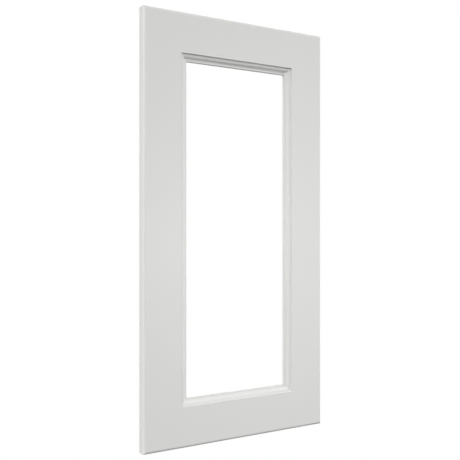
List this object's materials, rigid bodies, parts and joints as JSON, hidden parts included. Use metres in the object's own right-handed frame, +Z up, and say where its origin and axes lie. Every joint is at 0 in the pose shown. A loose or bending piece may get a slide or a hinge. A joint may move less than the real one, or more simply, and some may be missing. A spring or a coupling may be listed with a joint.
{
  "type": "kitchen cabinet door",
  "caption": "Tall framed cabinet door with a moulded inner edge, an open middle and a rebate at its back for glass, bored for concealed hinges.",
  "frame": {"origin": "centre of the mouth of the lower hinge cup, in the plane of the door's back face", "axes": "+X across the door from the hinge edge to the opening edge, +Y out of the back face into the cabinet, +Z up; the moulded front looks towards -Y"},
  "size_m": [0.397, 0.02, 0.797],
  "materials": {
    "paint": "satin light grey paint on medium density fibreboard",
    "beech": "bare turned beech"
  },
  "bodies": {
    "root": {"left_stile": "paint", "right_stile": "paint", "top_rail": "paint", "bottom_rail": "paint", "bottom_left_dowel_1": "beech", "bottom_left_dowel_2": "beech", "bottom_right_dowel_1": "beech", "bottom_right_dowel_2": "beech", "top_left_dowel_1": "beech", "top_left_dowel_2": "beech", "top_right_dowel_1": "beech", "top_right_dowel_2": "beech"}
  },
  "joints": []
}
